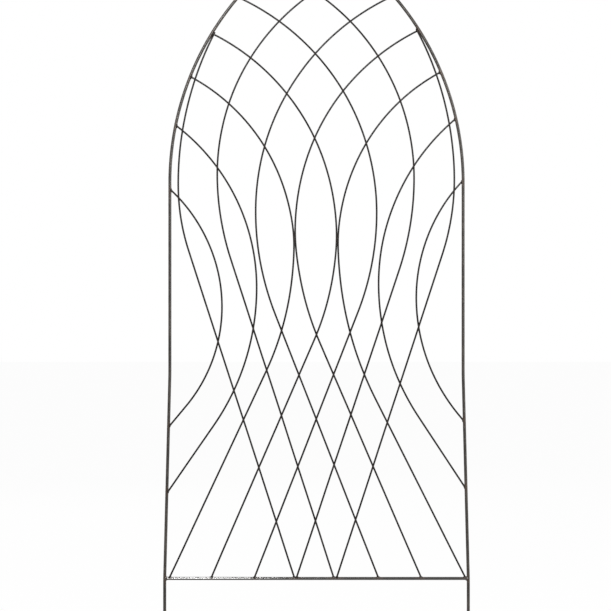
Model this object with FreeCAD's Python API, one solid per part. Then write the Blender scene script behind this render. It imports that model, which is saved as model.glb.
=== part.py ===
import FreeCAD, Part
import math
import os

# A flat welded steel trellis with a pointed arch. It stands in the XZ plane, with its legs pointing down.
# The origin is midway between the tips of the two legs. All lengths are millimetres.

# Frame: two rods, each a leg and half of the arch, and a crossbar between the legs
panel_width = 762.0        # between the leg axes at the crossbar and below it
waist_width = 736.0        # between the leg axes where they stand upright
splay_height = 514.0       # from the crossbar up to where the legs turn upright
spring_height = 994.0      # from the crossbar up to where the arch begins
arch_rise = 626.0          # from there up to the point of the arch
spike_length = 305.0       # from the crossbar down to the tips
leg_bend_radius = 1200.0   # of the two slight bends in each leg
frame_rod_radius = 4.0
crossbar_radius = 4.0
point_length = 32.0        # the ground part of each leg's tip
tip_radius = 0.8

# Lattice: seven bent rods in front and seven behind, leaning the other way
lattice_rod_radius = 2.1
flats_round_rod = 8        # these many small rods are eight-sided, to keep their surfaces few

# Welds: a collar of metal at each end of the lattice rods and of the crossbar, thinning away from the joint
collar_thickness = 0.9     # round a lattice rod, where the collar starts
collar_reach = 3.0         # along a lattice rod, out of the rod that carries it
bar_collar_thickness = 1.0
bar_collar_reach = 4.0

# A lattice rod rises from its foot, bends upright at its widest place and curves back to its top on the arch.
# The side that it leans to is ahead of it, and lengths across are positive there. The other side is behind.
# leg_foot: the height of a foot on the leg behind, as a share of the spring height
# bar_foot: the place of a foot on the crossbar, as a share of the way from the middle to where it meets a leg
# across and up: the widest place, as shares of the half waist and of the spring height
# straight: the straight run from the foot, as a share of the direct distance to the widest place
# top or far_top: the height of a top on the arch behind or ahead, above the spring, as a share of the rise
front_rod_shares = [
    {"leg_foot": 0.382, "across": -0.645, "up": 0.685, "straight": 0.21, "top": -0.027},
    {"leg_foot": 0.215, "across": -0.408, "up": 0.734, "straight": 0.37, "top": 0.229},
    {"bar_foot": -0.987, "across": -0.157, "up": 0.833, "straight": 0.65, "top": 0.424},
    {"bar_foot": -0.707, "across": 0.134, "up": 0.870, "straight": 0.71, "top": 0.597},
    {"bar_foot": -0.418, "across": 0.410, "up": 0.924, "straight": 0.74, "top": 0.742},
    {"bar_foot": -0.136, "across": 0.665, "up": 1.010, "straight": 0.78, "top": 0.862},
    {"bar_foot": 0.133, "across": 0.939, "up": 1.007, "straight": 0.82, "far_top": 0.614},
]
back_rod_shares = [
    {"leg_foot": 0.396, "across": -0.681, "up": 0.710, "straight": 0.07, "top": 0.008},
    {"leg_foot": 0.226, "across": -0.424, "up": 0.743, "straight": 0.39, "top": 0.256},
    {"bar_foot": -1.000, "across": -0.150, "up": 0.846, "straight": 0.56, "top": 0.443},
    {"bar_foot": -0.703, "across": 0.142, "up": 0.888, "straight": 0.69, "top": 0.611},
    {"bar_foot": -0.416, "across": 0.415, "up": 0.929, "straight": 0.73, "top": 0.749},
    {"bar_foot": -0.117, "across": 0.677, "up": 1.021, "straight": 0.80, "top": 0.865},
    {"bar_foot": 0.147, "across": 0.944, "up": 0.995, "straight": 0.84, "far_top": 0.600},
]

# Places that follow from the sizes
half_width = panel_width / 2
half_waist = waist_width / 2
crossbar_z = spike_length
upright_z = crossbar_z + splay_height
spring_z = crossbar_z + spring_height
apex_z = spring_z + arch_rise
arch_radius = (half_waist ** 2 + arch_rise ** 2) / (2 * half_waist)
end_lap = 2 * lattice_rod_radius
overrun = 4 * frame_rod_radius
up = FreeCAD.Vector(0, 0, 1)
across = FreeCAD.Vector(1, 0, 0)
inward = FreeCAD.Vector(0, 1, 0)
centre = FreeCAD.Vector(0, 0, 0)


def at(x, z):
    """A place in the plane of the frame's axes."""
    return FreeCAD.Vector(x, 0, z)


def on_circle(middle, radius, angle):
    """A place on a circle in the XZ plane, at an angle in radians from +X towards +Z."""
    return middle + at(math.cos(angle), math.sin(angle)) * radius


def arc_about(middle, radius, from_angle, to_angle):
    halfway = (from_angle + to_angle) / 2
    points = [on_circle(middle, radius, angle) for angle in (from_angle, halfway, to_angle)]
    return Part.Arc(*points).toShape()


def bent_corner(before, corner, after, radius):
    """The start, middle and end of the arc that rounds a corner of a path."""
    back = (before - corner).normalize()
    ahead = (after - corner).normalize()
    half_angle = back.getAngle(ahead) / 2
    start = corner + back * (radius / math.tan(half_angle))
    end = corner + ahead * (radius / math.tan(half_angle))
    bisector = (back + ahead).normalize()
    middle = corner + bisector * (radius / math.sin(half_angle) - radius)
    return start, middle, end


def leg_bends():
    """The two arcs in the axis of the right leg, at the crossbar and where the leg turns upright."""
    tip = at(half_width, 0)
    knee = at(half_width, crossbar_z)
    waist = at(half_waist, upright_z)
    spring = at(half_waist, spring_z)
    low = bent_corner(tip, knee, waist, leg_bend_radius)
    high = bent_corner(knee, waist, spring, leg_bend_radius)
    return low, high


def side_axis(top_overrun):
    """The axis of the right side of the frame, from the tip of the leg up to the point of the arch."""
    low, high = leg_bends()
    middle = at(half_waist - arch_radius, spring_z)
    apex_angle = math.atan2(arch_rise, arch_radius - half_waist)
    return Part.Wire([
        Part.makeLine(at(half_width, 0), low[0]),
        Part.Arc(*low).toShape(),
        Part.makeLine(low[2], high[0]),
        Part.Arc(*high).toShape(),
        Part.makeLine(high[2], at(half_waist, spring_z)),
        arc_about(middle, arch_radius, 0, apex_angle + top_overrun / arch_radius),
    ])


def side_place(height):
    """The place on the right side's axis at a height above the crossbar, and the angle it leans in by."""
    if height < splay_height:
        splay = half_width - half_waist
        place = at(half_waist + splay * (1 - height / splay_height), crossbar_z + height)
        return place, math.atan(splay / splay_height)
    if height < spring_height:
        return at(half_waist, crossbar_z + height), 0
    lean = math.asin((height - spring_height) / arch_radius)
    middle = at(half_waist - arch_radius, spring_z)
    return on_circle(middle, arch_radius, lean), lean


def start_of(axis):
    """The place and the direction in which a wire starts."""
    first = axis.OrderedEdges[0]
    start = axis.OrderedVertexes[0].Point
    return start, first.tangentAt(first.Curve.parameter(start))


def round_rod(axis, radius):
    """A round rod along a wire."""
    section = Part.Wire(Part.makeCircle(radius, *start_of(axis)))
    return axis.makePipeShell([section], True, False)


def flatted_section(place, ahead, radius):
    """The outline of a rod of many flats. One of the flats faces the front and one the back."""
    sideways = ahead.cross(inward)
    corner_radius = radius / math.cos(math.pi / flats_round_rod)
    corners = []
    for number in range(flats_round_rod):
        angle = (2 * number + 1) * math.pi / flats_round_rod
        corners.append(place + (sideways * math.cos(angle) + inward * math.sin(angle)) * corner_radius)
    return Part.makePolygon(corners + corners[:1])


def flatted_rod(axis, radius):
    return axis.makePipeShell([flatted_section(*start_of(axis), radius)], True, False)


def flatted_collar(joint, ahead, depth):
    """Weld metal round a lattice rod where it leaves its joint in the direction ahead, in its own layer."""
    thick = flatted_section(joint - ahead * end_lap, ahead, lattice_rod_radius + collar_thickness)
    thin = flatted_section(joint + ahead * collar_reach, ahead, lattice_rod_radius - collar_thickness)
    collar = Part.makeLoft([thick, thin], True, True).translate(inward * depth)
    corner = joint - FreeCAD.Vector(overrun, 2 * overrun if depth > 0 else 0, overrun)
    return collar.cut(Part.makeBox(2 * overrun, 2 * overrun, 2 * overrun, corner))


def ground_point():
    """What is ground off the right leg's tip to leave its point."""
    blank = Part.makeCylinder(frame_rod_radius + overrun, point_length, centre, up)
    point = Part.makeCone(tip_radius, frame_rod_radius, point_length, centre, up)
    return blank.cut(point).translate(at(half_width, 0))


def frame_side():
    """The right side of the frame, pointed at its foot and mitred at the middle of the arch."""
    rod = round_rod(side_axis(overrun), frame_rod_radius)
    corner = FreeCAD.Vector(-panel_width, -overrun, 0)
    beyond = Part.makeBox(panel_width, 2 * overrun, apex_z + overrun, corner)
    return less(rod, [beyond, ground_point()])


def crossbar_rod(sides):
    """The bar between the legs, with its ends hollowed to fit them."""
    low, high = leg_bends()
    end = at(low[1].x - frame_rod_radius / 2, crossbar_z)
    start = at(-end.x, crossbar_z)
    bar = round_rod(Part.Wire(Part.makeLine(start, end)), crossbar_radius)
    thick = crossbar_radius + bar_collar_thickness
    thin = crossbar_radius - bar_collar_thickness
    length = frame_rod_radius / 2 + bar_collar_reach
    for place, ahead in ((start, across), (end, -across)):
        bar = bar.fuse(Part.makeCone(thick, thin, length, place, ahead))
    return less(bar, sides)


def less(shape, others):
    """A shape with each of the others cut from it in turn."""
    for other in others:
        shape = shape.cut(other)
    return shape


def seat(carrier_radius, angle):
    """How far a lattice rod's axis runs inside the rod that carries it, for the angle between the two."""
    return math.sqrt(carrier_radius ** 2 - lattice_rod_radius ** 2) / abs(math.sin(angle))


class LatticeRod:
    """A rod that leans to the right, with its axis in the plane of the frame's axes."""

    def __init__(self, shares):
        self.on_leg = "leg_foot" in shares
        self.reaches_far = "far_top" in shares
        self.foot, carrier_angle, carrier_radius = self.foot_place(shares)
        self.widest = at(shares["across"] * half_waist, crossbar_z + shares["up"] * spring_height)
        top, top_lean = self.top_place(shares)

        chord = (self.widest - self.foot).Length
        swing = self.widest.x - self.foot.x
        self.low_radius = chord ** 2 * (1 - shares["straight"] ** 2) / (2 * swing)
        self.low_middle = self.widest - at(self.low_radius, 0)
        drop = self.foot - self.low_middle
        self.bend_angle = math.atan2(drop.z, drop.x) + math.acos(self.low_radius / drop.Length)
        self.bend_start = on_circle(self.low_middle, self.low_radius, self.bend_angle)
        self.rise = (self.bend_start - self.foot).normalize()
        self.foot_seat = seat(carrier_radius, math.atan2(self.rise.z, self.rise.x) - carrier_angle)

        width = self.widest.x - top.x
        height = top.z - self.widest.z
        self.high_radius = (width ** 2 + height ** 2) / (2 * width)
        self.high_middle = self.widest - at(self.high_radius, 0)
        self.top_angle = math.atan2(height, self.high_radius - width)
        self.top_seat = 0 if self.reaches_far else seat(frame_rod_radius, self.top_angle - top_lean)

    def foot_place(self, shares):
        """The foot on the axis of what carries it, and the angle and radius of that there."""
        if not self.on_leg:
            low, high = leg_bends()
            room = low[1].x - frame_rod_radius - lattice_rod_radius
            return at(shares["bar_foot"] * room, crossbar_z), 0, crossbar_radius
        place, lean = side_place(shares["leg_foot"] * spring_height)
        return at(-place.x, place.z), math.pi / 2 - lean, frame_rod_radius

    def top_place(self, shares):
        """The top, and how far the frame leans to the left from upright there.

        A rod that curves back behind ends on the frame's axis. One that reaches ahead ends beside the frame.
        """
        if self.reaches_far:
            place, lean = side_place(spring_height + shares["far_top"] * arch_rise)
            beside = frame_rod_radius + lattice_rod_radius / 2
            return place - at(math.cos(lean), math.sin(lean)) * beside, lean
        place, lean = side_place(spring_height + shares["top"] * arch_rise)
        return at(-place.x, place.z), -lean

    def axis(self):
        """The rod's axis, with each end lapped into the rod that carries it."""
        start = self.foot + self.rise * (self.foot_seat - end_lap)
        end_angle = self.top_angle - (self.top_seat - end_lap) / self.high_radius
        return Part.Wire([
            Part.makeLine(start, self.bend_start),
            arc_about(self.low_middle, self.low_radius, self.bend_angle, 0),
            arc_about(self.high_middle, self.high_radius, 0, end_angle),
        ])

    def foot_joint(self):
        """Where the axis comes out of the foot's carrier, and the direction that it takes."""
        return self.foot + self.rise * self.foot_seat, self.rise

    def top_joint(self):
        """Where the axis goes into the top's carrier, and the direction back down the rod."""
        angle = self.top_angle - self.top_seat / self.high_radius
        return on_circle(self.high_middle, self.high_radius, angle), at(math.sin(angle), -math.cos(angle))

    def solid(self, depth, crossbar, behind, ahead):
        """The rod at its depth, with its ends hollowed to fit the rods that carry it."""
        rod = flatted_rod(self.axis(), lattice_rod_radius).translate(inward * depth)
        for joint, away in (self.foot_joint(), self.top_joint()):
            rod = rod.fuse(flatted_collar(joint, away, depth))
        foot_carrier = behind if self.on_leg else crossbar
        top_carrier = ahead if self.reaches_far else behind
        return less(rod, [foot_carrier, top_carrier])


def build():
    """Every node by its name."""
    right_side = frame_side()
    left_side = right_side.mirror(centre, across)
    crossbar = crossbar_rod([right_side, left_side])
    nodes = {"frame_right_rod": right_side, "frame_left_rod": left_side, "crossbar": crossbar}
    for number, shares in enumerate(front_rod_shares, 1):
        rod = LatticeRod(shares).solid(-lattice_rod_radius, crossbar, left_side, right_side)
        nodes[f"front_rod_{number}"] = rod
    for number, shares in enumerate(back_rod_shares, 1):
        rod = LatticeRod(shares).solid(lattice_rod_radius, crossbar, left_side, right_side)
        nodes[f"back_rod_{number}"] = rod.mirror(centre, across)
    return nodes


os.makedirs("parts", exist_ok=True)
for name, shape in build().items():
    shape.exportStep(f"parts/{name}.step")
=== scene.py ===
import math

import bmesh
import bpy
from mathutils import Matrix, Vector, noise


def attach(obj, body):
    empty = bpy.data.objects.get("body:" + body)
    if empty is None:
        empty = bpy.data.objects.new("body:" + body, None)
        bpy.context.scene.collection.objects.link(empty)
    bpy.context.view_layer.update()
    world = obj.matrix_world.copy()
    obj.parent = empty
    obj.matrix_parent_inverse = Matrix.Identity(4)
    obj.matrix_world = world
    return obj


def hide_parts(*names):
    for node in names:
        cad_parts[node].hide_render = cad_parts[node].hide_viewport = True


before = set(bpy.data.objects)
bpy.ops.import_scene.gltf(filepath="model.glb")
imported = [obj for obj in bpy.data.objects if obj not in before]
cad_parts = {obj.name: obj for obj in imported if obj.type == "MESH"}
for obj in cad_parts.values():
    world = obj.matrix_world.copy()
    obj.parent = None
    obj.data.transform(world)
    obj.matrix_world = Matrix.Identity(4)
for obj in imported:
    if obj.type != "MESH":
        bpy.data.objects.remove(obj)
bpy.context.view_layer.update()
print("frame loaded")

# The two bent rods of the frame, in metres, as the solids have them
frameRods = {
    "halfWidth": 0.381,  # from the middle to a leg's axis, at the crossbar and below it
    "halfWaist": 0.368,  # the same where the legs stand upright
    "crossbarHeight": 0.305,
    "uprightHeight": 0.819,
    "springHeight": 1.299,  # where the arch begins
    "archRise": 0.626,
    "bendRadius": 1.2,
    "radius": 0.004,
    "pointLength": 0.032,
    "tipRadius": 0.0008,
    "pastMitre": 0.016,  # how far the arch is drawn past the middle before its mitre is cut
    "sides": 24,
    "spacing": 0.006,  # between the rings of faces
    "pointSpacing": 0.002,  # the same on the ground point
    "dentDepth": 0.00007,
    "wideDents": 90.0,  # how closely the dents stand
    "fineDents": 260.0,
    "fineShare": 0.6,  # how deep the fine dents are beside the wide ones
    "sunkBy": 1.2,  # in dent depths, so that hardly any of the skin is outside the true round
    "trueByMitre": 0.002,  # no dents so near the middle, so that both halves meet
}
halfWidth = frameRods["halfWidth"]
halfWaist = frameRods["halfWaist"]
crossbarHeight = frameRods["crossbarHeight"]
springHeight = frameRods["springHeight"]
legRise = springHeight - crossbarHeight
archRise = frameRods["archRise"]
archRadius = (halfWaist ** 2 + archRise ** 2) / (2 * halfWaist)
archMiddle = Vector((halfWaist - archRadius, 0, springHeight))
apexAngle = math.atan2(archRise, archRadius - halfWaist)
upward = Vector((0, 0, 1))
turnAxis = Vector((0, -1, 0))  # a turn about it goes from +X towards +Z


def onCircle(middle, radius, angle):
    return middle + Vector((math.cos(angle), 0, math.sin(angle))) * radius


def bentCorner(before, corner, after, radius):
    # the arc that rounds a corner
    back = (before - corner).normalized()
    ahead = (after - corner).normalized()
    halfAngle = back.angle(ahead) / 2
    centre = corner + (back + ahead).normalized() * (radius / math.sin(halfAngle))
    return {
        "start": corner + back * (radius / math.tan(halfAngle)),
        "middle": centre + (corner - centre).normalized() * radius,
        "end": corner + ahead * (radius / math.tan(halfAngle)),
        "centre": centre,
    }


legTip = Vector((halfWidth, 0, 0))
legKnee = Vector((halfWidth, 0, crossbarHeight))
legWaist = Vector((halfWaist, 0, frameRods["uprightHeight"]))
archSpring = Vector((halfWaist, 0, springHeight))
kneeBend = bentCorner(legTip, legKnee, legWaist, frameRods["bendRadius"])
waistBend = bentCorner(legKnee, legWaist, archSpring, frameRods["bendRadius"])
legAtBar = kneeBend["middle"].x  # the leg's axis where the crossbar meets it


# A round rod is a ring that is drawn along straight runs and arcs

def ringAt(mesh, place, direction, radius, sides):
    lay = Matrix.Translation(place) @ direction.to_track_quat("Z", "Y").to_matrix().to_4x4()
    ring = bmesh.ops.create_circle(mesh, cap_ends=True, segments=sides, radius=radius, matrix=lay)
    # each edge once, in the same order every run
    return list(dict.fromkeys(edge for vert in ring["verts"] for edge in vert.link_edges))


def lastEdges(result):
    return [item for item in result["geom_last"] if isinstance(item, bmesh.types.BMEdge)]


def drawRun(mesh, edges, run, spacing):
    steps = max(1, math.ceil(run.length / spacing))
    return lastEdges(bmesh.ops.spin(mesh, geom=edges, cent=(0, 0, 0), axis=turnAxis,
                                    dvec=run / steps, angle=0, steps=steps))


def drawArc(mesh, edges, centre, radius, angle, spacing):
    steps = max(1, math.ceil(abs(angle) * radius / spacing))
    return lastEdges(bmesh.ops.spin(mesh, geom=edges, cent=centre, axis=turnAxis,
                                    angle=angle, steps=steps))


def closeEnd(mesh, edges):
    bmesh.ops.contextual_create(mesh, geom=edges)


# Welds: a bead is a blunt lump at a joint, a collar runs up round a rod and thins out on it
weldMetal = {
    "bluntness": 2.7,  # 2 is a plain ellipsoid, and more is boxier
    "wideLumps": 300.0,  # how closely the lumps stand
    "fineLumps": 600.0,
    "fineShare": 0.45,
    "unevenness": 0.2,
    "collarSides": 20,
    "collarSpacing": 0.0008,
    "collarSunk": 0.001,  # how deep a collar starts below its joint
    "collarFall": 1.8,  # how fast a collar thins out
    "collarUnevenness": 0.16,
    "closeRust": (0.012, 0.6),  # reach from the joint, and share
    "wideRust": (0.045, 0.4),
}


def weldBead(mesh, place, along, reach, width, thickness, seed):
    # its reach lies along the rod that carries the joint
    power = weldMetal["bluntness"]
    lay = along.to_track_quat("Z", "Y").to_matrix().to_4x4()
    lay = Matrix.Translation(place) @ lay @ Matrix.Diagonal((width, thickness, reach, 1))
    ball = bmesh.ops.create_icosphere(mesh, subdivisions=3, radius=1)
    for vert in ball["verts"]:
        blunt = sum(abs(part) ** power for part in vert.co) ** (-1 / power)
        vert.co = lay @ (vert.co * blunt)
        uneven = noise.noise(vert.co * weldMetal["wideLumps"] + Vector((seed, 0, 0)))
        fine = noise.noise(vert.co * weldMetal["fineLumps"] + Vector((0, seed, 0)))
        uneven += weldMetal["fineShare"] * fine
        vert.co = place + (vert.co - place) * (1 + weldMetal["unevenness"] * uneven)


def weldCollar(mesh, place, away, thick, thin, reach, seed):
    older = len(mesh.verts)
    sunk = weldMetal["collarSunk"]
    edges = ringAt(mesh, place - away * sunk, away, thick, weldMetal["collarSides"])
    closeEnd(mesh, drawRun(mesh, edges, away * (reach + sunk), weldMetal["collarSpacing"]))
    mesh.verts.ensure_lookup_table()
    for vert in mesh.verts[older:]:
        spot = vert.co - place
        height = spot.dot(away)
        outward = (spot - away * height) / thick
        left = 1 - min(1, max(0, height / reach))  # 1 at the joint and 0 at the collar's far end
        girth = thin + (thick - thin) * left ** weldMetal["collarFall"]
        lump = noise.noise(vert.co * weldMetal["fineLumps"] + Vector((seed, seed, 0)))
        uneven = 1 + weldMetal["collarUnevenness"] * lump * left
        vert.co = place + away * height + outward * girth * uneven


def finishPiece(name, mesh, material, joints, node):
    # stores how near each point is to a weld, for the rust, and hands the piece over
    bmesh.ops.recalc_face_normals(mesh, faces=mesh.faces)
    nearness = mesh.verts.layers.float.new("weldNearness")
    for vert in mesh.verts:
        away = min((vert.co - joint).length for joint in joints)
        vert[nearness] = sum(math.exp(-(away / reach) ** 2) * share
                             for reach, share in (weldMetal["closeRust"], weldMetal["wideRust"]))
    for face in mesh.faces:
        face.smooth = True
    data = bpy.data.meshes.new(name)
    mesh.to_mesh(data)
    mesh.free()
    piece = bpy.data.objects.new(name, data)
    bpy.context.scene.collection.objects.link(piece)
    data.materials.append(material)
    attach(piece, "root")
    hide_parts(node)


# Shader nodes

def link(tree, source, target):
    tree.links.new(source, target)


def addNoise(tree, place, values):
    node = tree.nodes.new("ShaderNodeTexNoise")
    for name, value in values.items():
        node.inputs[name].default_value = value
    link(tree, place.outputs["Object"], node.inputs["Vector"])
    return node


def addMath(tree, operation, *sources):
    # each source is a socket or a number
    node = tree.nodes.new("ShaderNodeMath")
    node.operation = operation
    for source, target in zip(sources, node.inputs):
        if isinstance(source, bpy.types.NodeSocket):
            link(tree, source, target)
        else:
            target.default_value = source
    return node.outputs[0]


def addRange(tree, source, low, high):
    # 0 below the low value, 1 above the high one
    node = tree.nodes.new("ShaderNodeMapRange")
    node.inputs["From Min"].default_value = low
    node.inputs["From Max"].default_value = high
    link(tree, source, node.inputs["Value"])
    return node.outputs["Result"]


def addColourMix(tree, share, first, second):
    node = tree.nodes.new("ShaderNodeMix")
    node.data_type = "RGBA"
    link(tree, share, node.inputs["Factor"])
    link(tree, first, node.inputs["A"])
    link(tree, second, node.inputs["B"])
    return node.outputs["Result"]


# Finishes: one mottled paint for all rods, with its own values for each kind of rod
paintPattern = {
    "patches": {"Detail": 5, "Roughness": 0.62},  # the look of each paint gives their scale
    "patchRange": (0.36, 0.66),
    "patchShare": 0.7,  # how far a patch goes to the paler tone
    "worn": {"Scale": 130, "Detail": 6, "Roughness": 0.7},  # small places in the paler tone
    "wornRange": (0.52, 0.72),
    "specks": {"Scale": 420, "Detail": 6, "Roughness": 0.65},
    "rustRange": (0.16, 0.42),
}
framePaintLook = {
    "Dark": (0.0085, 0.0070, 0.0056, 1),
    "Pale": (0.042, 0.036, 0.030, 1),
    "Rust": (0.055, 0.030, 0.018, 1),
    "PatchScale": 11.0,
    "RustAmount": 0.3,
    "Smoothest": 0.20,
    "Roughest": 0.38,
    "bumpStrength": 0.4,
    "bumpDistance": 0.0003,
    "specular": 0.3,
}
crossbarPaintLook = dict(
    framePaintLook,
    Dark=(0.0055, 0.0045, 0.0035, 1),
    Pale=(0.016, 0.0135, 0.011, 1),
    Smoothest=0.11,
    Roughest=0.15,
    bumpStrength=0.0,  # smooth, so that its bright streak isn't broken up
    specular=0.7,
)
latticePaintLook = {
    "Dark": (0.0022, 0.0020, 0.0018, 1),
    "Pale": (0.0120, 0.0110, 0.0100, 1),
    "Rust": (0.022, 0.014, 0.010, 1),
    "PatchScale": 22.0,
    "RustAmount": 0.3,
    "Smoothest": 0.18,
    "Roughest": 0.32,
    "bumpStrength": 0.25,
    "bumpDistance": 0.0002,
    "specular": 0.13,
}
colourInputs = ("Dark", "Pale", "Rust")
numberInputs = ("PatchScale", "RustAmount", "Smoothest", "Roughest")


def mottledPaint():
    # patches of two tones, brown near the welds, and the height of an uneven brushed coat
    tree = bpy.data.node_groups.new("mottledPaint", "ShaderNodeTree")
    for name in colourInputs:
        tree.interface.new_socket(name=name, in_out="INPUT", socket_type="NodeSocketColor")
    for name in numberInputs:
        tree.interface.new_socket(name=name, in_out="INPUT", socket_type="NodeSocketFloat")
    tree.interface.new_socket(name="Color", in_out="OUTPUT", socket_type="NodeSocketColor")
    for name in ("Roughness", "Height"):
        tree.interface.new_socket(name=name, in_out="OUTPUT", socket_type="NodeSocketFloat")
    inward = tree.nodes.new("NodeGroupInput")
    outward = tree.nodes.new("NodeGroupOutput")
    place = tree.nodes.new("ShaderNodeTexCoord")

    patches = addNoise(tree, place, paintPattern["patches"])
    link(tree, inward.outputs["PatchScale"], patches.inputs["Scale"])
    patchField = addRange(tree, patches.outputs["Fac"], *paintPattern["patchRange"])
    patchTone = addMath(tree, "MULTIPLY", patchField, paintPattern["patchShare"])
    worn = addNoise(tree, place, paintPattern["worn"])
    wornField = addRange(tree, worn.outputs["Fac"], *paintPattern["wornRange"])
    paleShare = addMath(tree, "ADD", wornField, patchTone)
    paleShare.node.use_clamp = True
    tones = addColourMix(tree, paleShare, inward.outputs["Dark"], inward.outputs["Pale"])

    specks = addNoise(tree, place, paintPattern["specks"]).outputs["Fac"]
    welds = tree.nodes.new("ShaderNodeAttribute")
    welds.attribute_name = "weldNearness"
    rustField = addMath(tree, "MULTIPLY", welds.outputs["Fac"], specks)
    rustRange = addRange(tree, rustField, *paintPattern["rustRange"])
    rustShare = addMath(tree, "MULTIPLY", rustRange, inward.outputs["RustAmount"])
    link(tree, addColourMix(tree, rustShare, tones, inward.outputs["Rust"]), outward.inputs["Color"])

    dulling = addRange(tree, specks, 0, 1)
    link(tree, inward.outputs["Smoothest"], dulling.node.inputs["To Min"])
    link(tree, inward.outputs["Roughest"], dulling.node.inputs["To Max"])
    link(tree, dulling, outward.inputs["Roughness"])
    coat = addMath(tree, "SUBTRACT", specks, wornField)
    link(tree, addMath(tree, "ADD", coat, rustShare), outward.inputs["Height"])
    return tree


def paintMaterial(name, group, look):
    material = bpy.data.materials.new(name)
    material.use_nodes = True
    tree = material.node_tree
    shader = tree.nodes["Principled BSDF"]
    coat = tree.nodes.new("ShaderNodeGroup")
    coat.node_tree = group
    for socket in colourInputs + numberInputs:
        coat.inputs[socket].default_value = look[socket]
    bump = tree.nodes.new("ShaderNodeBump")
    bump.inputs["Strength"].default_value = look["bumpStrength"]
    bump.inputs["Distance"].default_value = look["bumpDistance"]
    link(tree, coat.outputs["Color"], shader.inputs["Base Color"])
    link(tree, coat.outputs["Roughness"], shader.inputs["Roughness"])
    link(tree, coat.outputs["Height"], bump.inputs["Height"])
    link(tree, bump.outputs["Normal"], shader.inputs["Normal"])
    shader.inputs["Specular IOR Level"].default_value = look["specular"]
    return material


paintGroup = mottledPaint()
framePaint = paintMaterial("framePaint", paintGroup, framePaintLook)
crossbarPaint = paintMaterial("crossbarPaint", paintGroup, crossbarPaintLook)
latticePaint = paintMaterial("latticePaint", paintGroup, latticePaintLook)
print("finishes made")

# The lattice: two layers of seven rods, the back ones mirrored
latticeRods = {
    "radius": 0.00232,
    "depth": 0.0021,  # of each layer's axes, before or behind the middle
    "sides": 16,
    "spacing": 0.006,
    "lapShare": 0.9,  # of the radius, by which an end runs on into what carries it
    "wander": 0.0005,  # how far a bent rod strays from its arcs, in the plane of the lattice
    "wanderScale": 5.0,  # how closely the strays stand
    "wanderStart": 0.08,  # the stray grows from nothing over this length from each end
    "noiseSeed": 7,  # vector noise starts from the clock where nothing seeds it
    "clearOfEnds": 0.012,  # no crossing is looked for so near an end
    "searchStep": 0.004,  # of height, between two looks for a crossing
    "searchHalvings": 20,
    "passingGaps": (0.004, 0.008),  # between the axes of two rods that only pass close by
    "drawnApart": 0.0043,  # between the same axes once the two are drawn together
    "drawnReach": 0.065,  # how far up and down the drawing together goes
    "seedStep": 11,  # the seeds keep the lumps and strays of one rod from those of the next
    "backSeed": 100,
}
latticeWelds = {  # reach along the rod that carries the end, or upward, then width and thickness
    "end": (0.0052, 0.0023, 0.0021),
    "barFoot": (0.0058, 0.0028, 0.0028),
    "crossing": (0.0027, 0.0025, 0.0013),
    "passing": (0.0030, 0.0030, 0.0020),
}
endWelds = {
    "collarThick": 0.0027,
    "collarThinShare": 0.98,  # of the rod's radius
    "collarReach": 0.0038,
    "barFootInward": 0.43,  # share of a layer's depth, so that it sits nearer the bar's middle
    "barFootSunk": 0.001,
}
weldSeeds = {
    "footCollar": 0,
    "topCollar": 3,
    "foot": 5,
    "top": 7,
    "passing": 9,
    "crossingPerMetre": 40,  # of its height
}

# Where each rod starts, is widest and ends, as shares of the frame's sizes, as the solids have it
frontRodShares = [
    {"legFoot": 0.382, "across": -0.645, "up": 0.685, "straight": 0.21, "top": -0.027},
    {"legFoot": 0.215, "across": -0.408, "up": 0.734, "straight": 0.37, "top": 0.229},
    {"barFoot": -0.987, "across": -0.157, "up": 0.833, "straight": 0.65, "top": 0.424},
    {"barFoot": -0.707, "across": 0.134, "up": 0.870, "straight": 0.71, "top": 0.597},
    {"barFoot": -0.418, "across": 0.410, "up": 0.924, "straight": 0.74, "top": 0.742},
    {"barFoot": -0.136, "across": 0.665, "up": 1.010, "straight": 0.78, "top": 0.862},
    {"barFoot": 0.133, "across": 0.939, "up": 1.007, "straight": 0.82, "farTop": 0.614},
]
backRodShares = [
    {"legFoot": 0.396, "across": -0.681, "up": 0.710, "straight": 0.07, "top": 0.008},
    {"legFoot": 0.226, "across": -0.424, "up": 0.743, "straight": 0.39, "top": 0.256},
    {"barFoot": -1.000, "across": -0.150, "up": 0.846, "straight": 0.56, "top": 0.443},
    {"barFoot": -0.703, "across": 0.142, "up": 0.888, "straight": 0.69, "top": 0.611},
    {"barFoot": -0.416, "across": 0.415, "up": 0.929, "straight": 0.73, "top": 0.749},
    {"barFoot": -0.117, "across": 0.677, "up": 1.021, "straight": 0.80, "top": 0.865},
    {"barFoot": 0.147, "across": 0.944, "up": 0.995, "straight": 0.84, "farTop": 0.600},
]


def sidePlace(height):
    # the place on the right side's axis at a height above the crossbar, and how far it leans in
    splayHeight = frameRods["uprightHeight"] - crossbarHeight
    if height < splayHeight:
        splay = (halfWidth - halfWaist) * (1 - height / splayHeight)
        lean = math.atan((halfWidth - halfWaist) / splayHeight)
        return Vector((halfWaist + splay, 0, crossbarHeight + height)), lean
    if height < legRise:
        return Vector((halfWaist, 0, crossbarHeight + height)), 0
    lean = math.asin((height - legRise) / archRadius)
    return onCircle(archMiddle, archRadius, lean), lean


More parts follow.
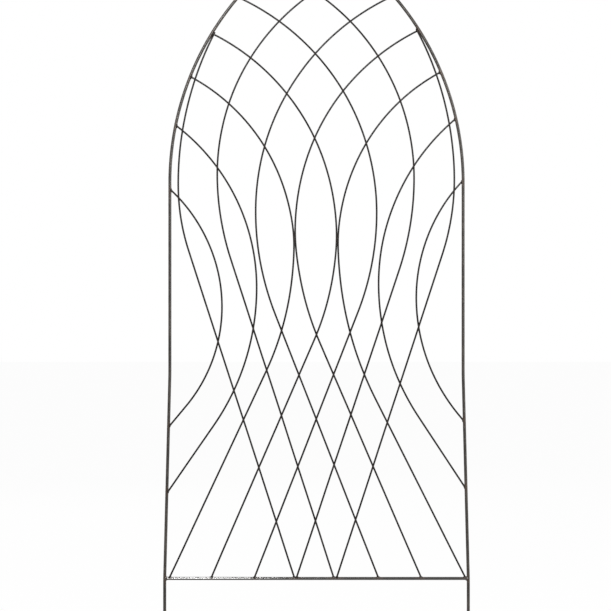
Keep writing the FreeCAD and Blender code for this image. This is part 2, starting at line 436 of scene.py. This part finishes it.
def rodCourse(shares):
    # the run, the two arcs and the ends of a rod that leans to the right
    frameRadius, depth = frameRods["radius"], latticeRods["depth"]
    widest = Vector((shares["across"] * halfWaist, 0, crossbarHeight + shares["up"] * legRise))
    if "legFoot" in shares:
        place, lean = sidePlace(shares["legFoot"] * legRise)
        foot = Vector((-place.x, 0, place.z))
        carrierAngle = math.pi / 2 - lean
    else:
        toLeg = legAtBar - frameRadius - depth  # from the middle to where a foot meets the leg
        foot = Vector((shares["barFoot"] * toLeg, 0, crossbarHeight))
        carrierAngle = 0
    if "farTop" in shares:  # it lies against the inside of the arch there
        place, topLean = sidePlace(legRise + shares["farTop"] * archRise)
        beside = frameRadius + depth / 2
        top = place - Vector((math.cos(topLean), 0, math.sin(topLean))) * beside
    else:
        place, lean = sidePlace(legRise + shares["top"] * archRise)
        top, topLean = Vector((-place.x, 0, place.z)), -lean

    chord = (widest - foot).length
    lowRadius = chord ** 2 * (1 - shares["straight"] ** 2) / (2 * (widest.x - foot.x))
    lowMiddle = widest - Vector((lowRadius, 0, 0))
    drop = foot - lowMiddle
    bendAngle = math.atan2(drop.z, drop.x) + math.acos(lowRadius / drop.length)
    bendStart = onCircle(lowMiddle, lowRadius, bendAngle)
    rise = (bendStart - foot).normalized()

    width = widest.x - top.x
    height = top.z - widest.z
    highRadius = (width ** 2 + height ** 2) / (2 * width)
    highMiddle = widest - Vector((highRadius, 0, 0))
    topAngle = math.atan2(height, highRadius - width)

    # from the axis of the rod that carries an end to its skin, at the depth of the layer
    seatDepth = math.sqrt(frameRadius ** 2 - depth ** 2)
    footSeat = seatDepth / abs(math.sin(math.atan2(rise.z, rise.x) - carrierAngle))
    topSeat = 0 if "farTop" in shares else seatDepth / abs(math.sin(topAngle - topLean))
    jointAngle = topAngle - topSeat / highRadius
    lap = latticeRods["lapShare"] * latticeRods["radius"]
    return {
        "foot": foot,
        "start": foot + rise * (footSeat - lap),
        "footJoint": foot + rise * footSeat,
        "footOnBar": "barFoot" in shares,
        "footAlong": Vector((math.cos(carrierAngle), 0, math.sin(carrierAngle))),
        "rise": rise,
        "bendStart": bendStart,
        "bendAngle": bendAngle,
        "lowMiddle": lowMiddle,
        "lowRadius": lowRadius,
        "highMiddle": highMiddle,
        "highRadius": highRadius,
        "endAngle": topAngle - (topSeat - lap) / highRadius,
        "topJoint": onCircle(highMiddle, highRadius, jointAngle),
        "topAlong": Vector((-math.sin(topLean), 0, math.cos(topLean))),
        "topHeight": top.z,
        "down": Vector((math.sin(jointAngle), 0, -math.cos(jointAngle))),  # along the rod at its top
    }


def placeAt(course, height):
    # how far across a rod is at a height
    if height < course["bendStart"].z:
        return course["foot"].x + (height - course["foot"].z) * course["rise"].x / course["rise"].z
    arc = "low" if height < course["lowMiddle"].z else "high"
    middle, radius = course[arc + "Middle"], course[arc + "Radius"]
    return middle.x + math.sqrt(max(0, radius ** 2 - (height - middle.z) ** 2))


def apartAt(course, other, height):
    # from a rod to one of the other layer, whose course is drawn mirrored
    return placeAt(course, height) + placeAt(other, height)


def crossings(course, other):
    # where two rods of opposite layers cross, seen from the front
    step = latticeRods["searchStep"]
    low = max(course["foot"].z, other["foot"].z) + latticeRods["clearOfEnds"]
    high = min(course["topHeight"], other["topHeight"]) - latticeRods["clearOfEnds"]
    found = []
    while low + step < high:
        if apartAt(course, other, low) * apartAt(course, other, low + step) < 0:
            under, over = low, low + step
            for _ in range(latticeRods["searchHalvings"]):
                half = (under + over) / 2
                crossedAbove = apartAt(course, other, under) * apartAt(course, other, half) > 0
                under, over = (half, over) if crossedAbove else (under, half)
            found.append(Vector((placeAt(course, under), 0, under)))
        low += step
    return found


def passings(course, other):
    # where two such rods pass close by without crossing, and how far each is drawn to the other
    height = (course["lowMiddle"].z + other["lowMiddle"].z) / 2
    apart = apartAt(course, other, height)
    least, most = latticeRods["passingGaps"]
    if not least < abs(apart) < most:
        return []
    between = Vector((placeAt(course, height) - apart / 2, 0, height))
    return [(between, (abs(apart) - latticeRods["drawnApart"]) / 2)]


def drawLatticeRun(mesh, course):
    radius, spacing = latticeRods["radius"], latticeRods["spacing"]
    edges = ringAt(mesh, course["start"], course["rise"], radius, latticeRods["sides"])
    edges = drawRun(mesh, edges, course["bendStart"] - course["start"], spacing)
    edges = drawArc(mesh, edges, course["lowMiddle"], course["lowRadius"], -course["bendAngle"], spacing)
    edges = drawArc(mesh, edges, course["highMiddle"], course["highRadius"], course["endAngle"], spacing)
    closeEnd(mesh, edges)


def strayBetweenEnds(mesh, course, passed, seed):
    # hand-bent rods wander a little, and are drawn to a rod that they pass close by
    start, reach = latticeRods["wanderStart"], latticeRods["drawnReach"]
    for vert in mesh.verts:
        hold = min(1, (vert.co - course["footJoint"]).length / start,
                   (vert.co - course["topJoint"]).length / start)
        stray = noise.noise_vector(vert.co * latticeRods["wanderScale"] + Vector((seed, 0, 0)))
        stray = stray * latticeRods["wander"] * hold
        drawn = sum(pull * math.exp(-((vert.co.z - place.z) / reach) ** 2) for place, pull in passed)
        vert.co += Vector((stray.x + drawn, 0, stray.z))


def weldRodEnds(mesh, course, depth, seed):
    collar = (endWelds["collarThick"], latticeRods["radius"] * endWelds["collarThinShare"],
              endWelds["collarReach"])
    weldCollar(mesh, course["footJoint"], course["rise"], *collar, seed + weldSeeds["footCollar"])
    weldCollar(mesh, course["topJoint"], course["down"], *collar, seed + weldSeeds["topCollar"])
    footPlace, footWeld = course["footJoint"], "end"
    if course["footOnBar"]:
        footPlace = footPlace + Vector((0, -depth * endWelds["barFootInward"], -endWelds["barFootSunk"]))
        footWeld = "barFoot"
    weldBead(mesh, footPlace, course["footAlong"], *latticeWelds[footWeld], seed + weldSeeds["foot"])
    weldBead(mesh, course["topJoint"], course["topAlong"], *latticeWelds["end"], seed + weldSeeds["top"])


def latticeRod(layer, number, course, crossed, passed):
    # drawn as one that leans to the right, then moved to its layer, and mirrored for the back
    mirrored = layer == "back"
    depth = latticeRods["depth"] * (1 if mirrored else -1)
    seed = number * latticeRods["seedStep"] + (latticeRods["backSeed"] if mirrored else 0)
    mesh = bmesh.new()
    drawLatticeRun(mesh, course)
    strayBetweenEnds(mesh, course, passed, seed)
    weldRodEnds(mesh, course, depth, seed)
    bmesh.ops.translate(mesh, verts=mesh.verts, vec=(0, depth, 0))
    joints = [course["footJoint"], course["topJoint"]]
    passedAt = [place for place, _ in passed]
    if mirrored:
        bmesh.ops.scale(mesh, verts=mesh.verts, vec=(-1, 1, 1))
        joints = [Vector((-joint.x, 0, joint.z)) for joint in joints]
        passedAt = [Vector((-place.x, 0, place.z)) for place in passedAt]
    else:  # the front rods carry the welds between the layers
        for place in passedAt:
            weldBead(mesh, place, upward, *latticeWelds["passing"], seed + weldSeeds["passing"])
        for place in crossed:
            ownSeed = seed + place.z * weldSeeds["crossingPerMetre"]
            weldBead(mesh, place, upward, *latticeWelds["crossing"], ownSeed)
    finishPiece(f"{layer}LatticeRod{number}", mesh, latticePaint,
                joints + crossed + passedAt, f"{layer}_rod_{number}")
    return joints


noise.seed_set(latticeRods["noiseSeed"])
weldPlaces = {"right": [], "left": []}
frontCourses = [rodCourse(shares) for shares in frontRodShares]
backCourses = [rodCourse(shares) for shares in backRodShares]
for layer, courses, others in (("front", frontCourses, backCourses), ("back", backCourses, frontCourses)):
    for number, course in enumerate(courses, 1):
        crossed = []
        if layer == "front":
            crossed = [place for other in others for place in crossings(course, other)]
        passed = [found for other in others for found in passings(course, other)]
        for joint in latticeRod(layer, number, course, crossed, passed):
            weldPlaces["right" if joint.x > 0 else "left"].append(joint)
        print(layer, "lattice rod", number, "drawn with", len(crossed), "welds at crossings")
print("lattice rods drawn")

archWeld = {
    "below": 0.0018,  # its middle under the point where the axes meet
    "size": (0.0056, 0.0050, 0.0041),  # reach up and down, width and thickness
    "seed": 61,
}


def frameSide(name, node, mirrored, welds):
    # one leg and half of the arch, from the ground point up to the mitre at the top
    radius, tipRadius = frameRods["radius"], frameRods["tipRadius"]
    spacing, bendRadius = frameRods["spacing"], frameRods["bendRadius"]
    point = upward * frameRods["pointLength"]
    turn = upward.angle(legWaist - legKnee)
    mesh = bmesh.new()
    edges = ringAt(mesh, legTip, upward, tipRadius, frameRods["sides"])
    edges = drawRun(mesh, edges, point, frameRods["pointSpacing"])
    edges = drawRun(mesh, edges, kneeBend["start"] - legTip - point, spacing)
    for vert in mesh.verts:  # as thin as the tip so far, and widened from there
        grown = 1 + (radius / tipRadius - 1) * min(1, vert.co.z / frameRods["pointLength"])
        vert.co = Vector((halfWidth + (vert.co.x - halfWidth) * grown, vert.co.y * grown, vert.co.z))
    edges = drawArc(mesh, edges, kneeBend["centre"], bendRadius, turn, spacing)
    edges = drawRun(mesh, edges, waistBend["start"] - kneeBend["end"], spacing)
    edges = drawArc(mesh, edges, waistBend["centre"], bendRadius, -turn, spacing)
    edges = drawRun(mesh, edges, archSpring - waistBend["end"], spacing)
    archAngle = apexAngle + frameRods["pastMitre"] / archRadius
    edges = drawArc(mesh, edges, archMiddle, archRadius, archAngle, spacing)
    closeEnd(mesh, edges)
    bmesh.ops.bisect_plane(mesh, geom=mesh.verts[:] + mesh.edges[:] + mesh.faces[:],
                           plane_co=(0, 0, 0), plane_no=(-1, 0, 0), clear_outer=True)
    bmesh.ops.holes_fill(mesh, edges=mesh.edges, sides=0)

    bmesh.ops.recalc_face_normals(mesh, faces=mesh.faces)
    mesh.normal_update()
    for vert in mesh.verts:
        if vert.co.x > frameRods["trueByMitre"]:
            fine = frameRods["fineShare"] * noise.noise(vert.co * frameRods["fineDents"])
            dent = noise.noise(vert.co * frameRods["wideDents"]) + fine - frameRods["sunkBy"]
            vert.co += vert.normal * dent * frameRods["dentDepth"]

    barJoint = legKnee.copy()
    if mirrored:
        bmesh.ops.scale(mesh, verts=mesh.verts, vec=(-1, 1, 1))
        barJoint.x = -halfWidth
    else:
        place = Vector((0, 0, springHeight + archRise - archWeld["below"]))
        weldBead(mesh, place, upward, *archWeld["size"], archWeld["seed"])
    joints = [Vector((0, 0, springHeight + archRise)), barJoint]
    finishPiece(name, mesh, framePaint, joints + welds, node)


frameSide("rightFrameRod", "frame_right_rod", False, weldPlaces["right"])
frameSide("leftFrameRod", "frame_left_rod", True, weldPlaces["left"])
print("frame rods drawn")

crossbar = {
    "radius": 0.004,
    "reach": legAtBar,  # from the middle to each end, on the leg's axis
    "sides": 24,
    "spacing": 0.006,
    "endWeld": (0.0060, 0.0027, 0.0034),  # reach along the leg, width and thickness
    "endSeed": 40,
    "weldsWithin": 0.01,  # lattice welds no higher above the bar than this rust it too
}


def crossbarRod():
    reach = crossbar["reach"]
    mesh = bmesh.new()
    edges = ringAt(mesh, Vector((-reach, 0, crossbarHeight)), Vector((1, 0, 0)),
                   crossbar["radius"], crossbar["sides"])
    edges = drawRun(mesh, edges, Vector((2 * reach, 0, 0)), crossbar["spacing"])
    closeEnd(mesh, edges)
    welds = []
    for side in (-1, 1):
        joint = Vector((side * (reach - frameRods["radius"]), 0, crossbarHeight))
        weldBead(mesh, joint, upward, *crossbar["endWeld"], side * crossbar["endSeed"])
        welds.append(joint)
    highest = crossbarHeight + crossbar["weldsWithin"]
    welds += [joint for places in weldPlaces.values() for joint in places if joint.z < highest]
    finishPiece("crossbarRod", mesh, crossbarPaint, welds, "crossbar")


crossbarRod()
print("crossbar drawn")

# The room: a pale floor, a white surround that the camera and the gloss see, and soft lamps
room = {
    "floorColour": (0.94, 0.94, 0.94, 1),
    "floorRoughness": 0.9,
    "floorSize": 60.0,
    "whiteShare": 0.97,  # of the floor that the camera sees as plain white
    "surround": 0.22,  # light from all round
    "surroundSeen": 1.0,  # the surround as the camera and the gloss see it
    "aimHeight": 1.0,  # the lamps face the middle of the trellis at this height
}
lamps = {
    "key": {"place": (3.6, -1.6, 2.2), "watts": 160, "width": 2.6, "height": 3.0},
    "glint": {"place": (-0.48, -3.2, 2.6), "watts": 165, "width": 0.42, "height": 1.2},
    "back": {"place": (-1.6, 4.6, 3.2), "watts": 90, "width": 5.0, "height": 4.0},
}


def seenDirectly(tree):
    # 1 for the camera, for gloss and for glass, 0 for the light that falls on things
    rays = tree.nodes.new("ShaderNodeLightPath").outputs
    direct = addMath(tree, "MAXIMUM", rays["Is Camera Ray"], rays["Is Glossy Ray"])
    return addMath(tree, "MAXIMUM", direct, rays["Is Transmission Ray"])


def floorWhite():
    material = bpy.data.materials.new("floorWhite")
    material.use_nodes = True
    tree = material.node_tree
    shader = tree.nodes["Principled BSDF"]
    shader.inputs["Base Color"].default_value = room["floorColour"]
    shader.inputs["Roughness"].default_value = room["floorRoughness"]
    shader.inputs["Specular IOR Level"].default_value = 0
    glow = tree.nodes.new("ShaderNodeEmission")
    blend = tree.nodes.new("ShaderNodeMixShader")
    glowShare = addMath(tree, "MULTIPLY", seenDirectly(tree), room["whiteShare"])
    link(tree, glowShare, blend.inputs["Fac"])
    link(tree, shader.outputs["BSDF"], blend.inputs[1])
    link(tree, glow.outputs["Emission"], blend.inputs[2])
    link(tree, blend.outputs["Shader"], tree.nodes["Material Output"].inputs["Surface"])
    return material


floorMesh = bmesh.new()
bmesh.ops.create_grid(floorMesh, x_segments=1, y_segments=1, size=room["floorSize"] / 2)
floorData = bpy.data.meshes.new("studioFloor")
floorMesh.to_mesh(floorData)
floorMesh.free()
floorData.materials.append(floorWhite())
floor = bpy.data.objects.new("studioFloor", floorData)
bpy.context.scene.collection.objects.link(floor)

world = bpy.data.worlds.new("studioSurround")
bpy.context.scene.world = world
world.use_nodes = True
worldTree = world.node_tree
background = worldTree.nodes["Background"]
background.inputs["Color"].default_value = (1, 1, 1, 1)
strength = addRange(worldTree, seenDirectly(worldTree), 0, 1)
strength.node.inputs["To Min"].default_value = room["surround"]
strength.node.inputs["To Max"].default_value = room["surroundSeen"]
link(worldTree, strength, background.inputs["Strength"])

for name, lamp in lamps.items():
    light = bpy.data.lights.new(name + "Lamp", "AREA")
    light.energy = lamp["watts"]
    light.shape = "RECTANGLE"
    light.size, light.size_y = lamp["width"], lamp["height"]
    holder = bpy.data.objects.new(name + "Lamp", light)
    place = Vector(lamp["place"])
    aim = Vector((0, 0, room["aimHeight"])) - place
    holder.matrix_world = Matrix.Translation(place) @ aim.to_track_quat("-Z", "Y").to_matrix().to_4x4()
    bpy.context.scene.collection.objects.link(holder)
bpy.context.scene.view_settings.view_transform = "Standard"
print("room and lamps set")

# The camera looks level at the flat of the trellis, slightly left of its middle
cameraSettings = {
    "place": (-0.0276, -5.0, 0.990),
    "viewWidth": 1.5335,  # across the picture, at the trellis
    "sensor": 36.0,
}
cameraAway = -cameraSettings["place"][1]
cameraData = bpy.data.cameras.new("photoCamera")
cameraData.sensor_width = cameraSettings["sensor"]
cameraData.lens = cameraSettings["sensor"] * cameraAway / cameraSettings["viewWidth"]
camera = bpy.data.objects.new("photoCamera", cameraData)
camera.matrix_world = Matrix.Translation(cameraSettings["place"]) @ Matrix.Rotation(math.pi / 2, 4, "X")
bpy.context.scene.collection.objects.link(camera)
bpy.context.scene.camera = camera
print("camera set")
